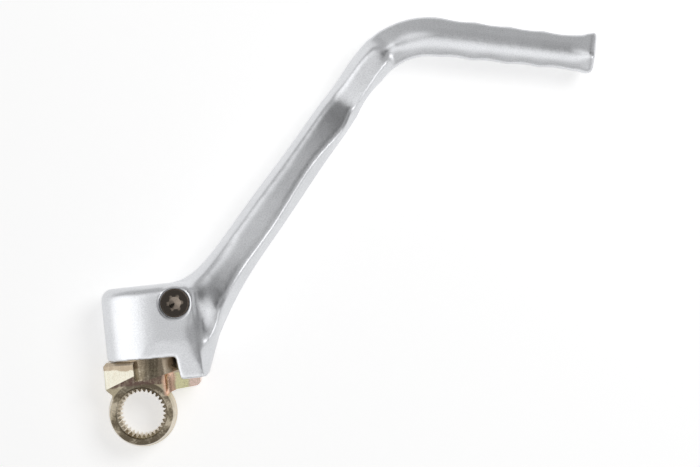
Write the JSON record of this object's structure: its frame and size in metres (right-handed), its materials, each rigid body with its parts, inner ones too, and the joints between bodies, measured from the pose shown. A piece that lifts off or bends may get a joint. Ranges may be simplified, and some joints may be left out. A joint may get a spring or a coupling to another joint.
{
  "type": "kick start lever",
  "caption": "Folding kick start lever: a forged, doglegged arm with a scalloped foot peg swings out on the post of a splined steel knuckle.",
  "frame": {"origin": "centre of the splined bore at the knuckle's inner face", "axes": "+Z out along the kick shaft, away from the engine; X and Y in the plane of the folded lever, +X towards the tip of the foot peg and +Y from the shaft towards the bend"},
  "size_m": [0.2264, 0.1972, 0.034],
  "materials": {
    "forged_aluminium": "shot-blasted satin",
    "plated_steel": "yellow zinc plating",
    "dark_screw": "dark oxide",
    "bearing_steel": "polished",
    "spring_steel": "drawn wire"
  },
  "bodies": {
    "knuckle": {"pivot_knuckle": "plated_steel", "detent_spring": "spring_steel"},
    "lever": {"kick_lever": "forged_aluminium", "retaining_screw": "dark_screw"},
    "ball": {"detent_ball": "bearing_steel"}
  },
  "joints": [
    {"name": "lever_swivel", "type": "hinge", "parent": "knuckle", "child": "lever", "pos_m": [0.00547, 0.00057, 0.017], "axis": [0.1045, -0.9945, 0], "range_deg": [0, 74]},
    {"name": "detent_slide", "type": "slide", "parent": "knuckle", "child": "ball", "axis": [-0.9945, -0.1045, 0], "range_m": [0, 0.0008], "stiffness_N_per_m": 1500, "springref_m": 0.0008, "deforming": ["detent_spring"]}
  ]
}
